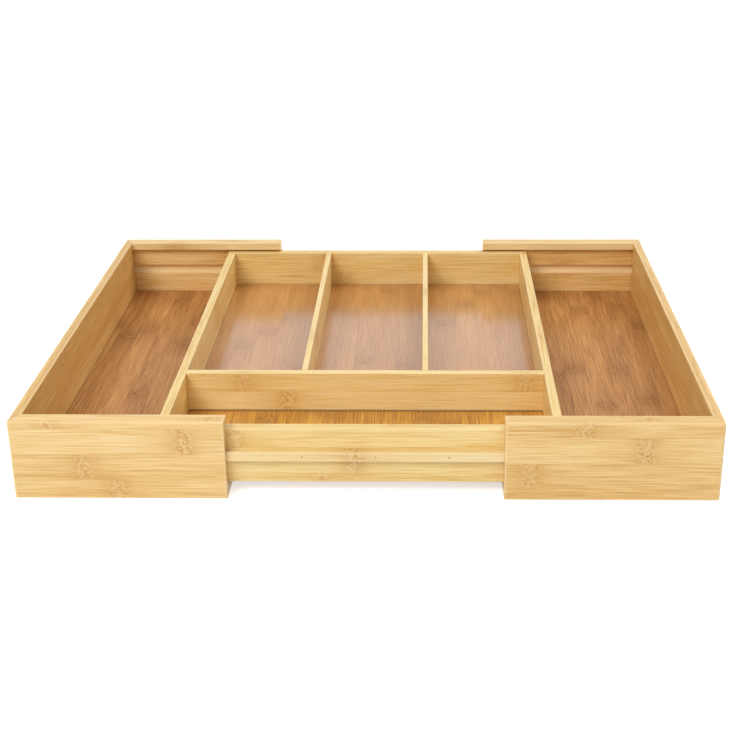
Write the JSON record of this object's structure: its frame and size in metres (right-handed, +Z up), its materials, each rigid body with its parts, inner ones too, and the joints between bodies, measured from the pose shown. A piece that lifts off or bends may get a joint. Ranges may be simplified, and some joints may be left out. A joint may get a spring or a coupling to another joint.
{
  "type": "expanding cutlery tray",
  "caption": "Low bamboo drawer tray with divided compartments and a sliding side tray at each end that pulls out on a runner to widen it.",
  "frame": {"origin": "on the ground under the middle of the tray's outline at rest", "axes": "+X to the right along the width, +Y from the front rail to the back, +Z up"},
  "size_m": [0.54, 0.455, 0.0645],
  "materials": {
    "wall_bamboo": "satin lacquered bamboo",
    "runner_bamboo": "satin lacquered bamboo, paler strip",
    "floor_bamboo": "satin lacquered bamboo panel, browner",
    "brad_steel": "dull steel brad heads"
  },
  "bodies": {
    "main_tray": {"main_front_wall": "wall_bamboo", "main_back_wall": "wall_bamboo", "main_left_wall": "wall_bamboo", "main_right_wall": "wall_bamboo", "main_floor": "floor_bamboo", "cross_divider": "wall_bamboo", "left_divider": "wall_bamboo", "right_divider": "wall_bamboo", "front_runner": "runner_bamboo", "back_runner": "runner_bamboo", "runner_brads": "brad_steel"},
    "left_tray": {"left_front_rail": "wall_bamboo", "left_back_rail": "wall_bamboo", "left_outer_wall": "wall_bamboo", "left_floor": "floor_bamboo", "left_end_batten": "wall_bamboo", "left_stop_batten": "wall_bamboo", "left_batten_brads": "brad_steel"},
    "right_tray": {"right_front_rail": "wall_bamboo", "right_back_rail": "wall_bamboo", "right_outer_wall": "wall_bamboo", "right_floor": "floor_bamboo", "right_end_batten": "wall_bamboo", "right_stop_batten": "wall_bamboo", "right_batten_brads": "brad_steel"}
  },
  "joints": [
    {"name": "left_slide", "type": "slide", "parent": "main_tray", "child": "left_tray", "axis": [-1, 0, 0], "range_m": [-0.1008, 0.0172]},
    {"name": "right_slide", "type": "slide", "parent": "main_tray", "child": "right_tray", "axis": [1, 0, 0], "range_m": [-0.11, 0.008]}
  ]
}
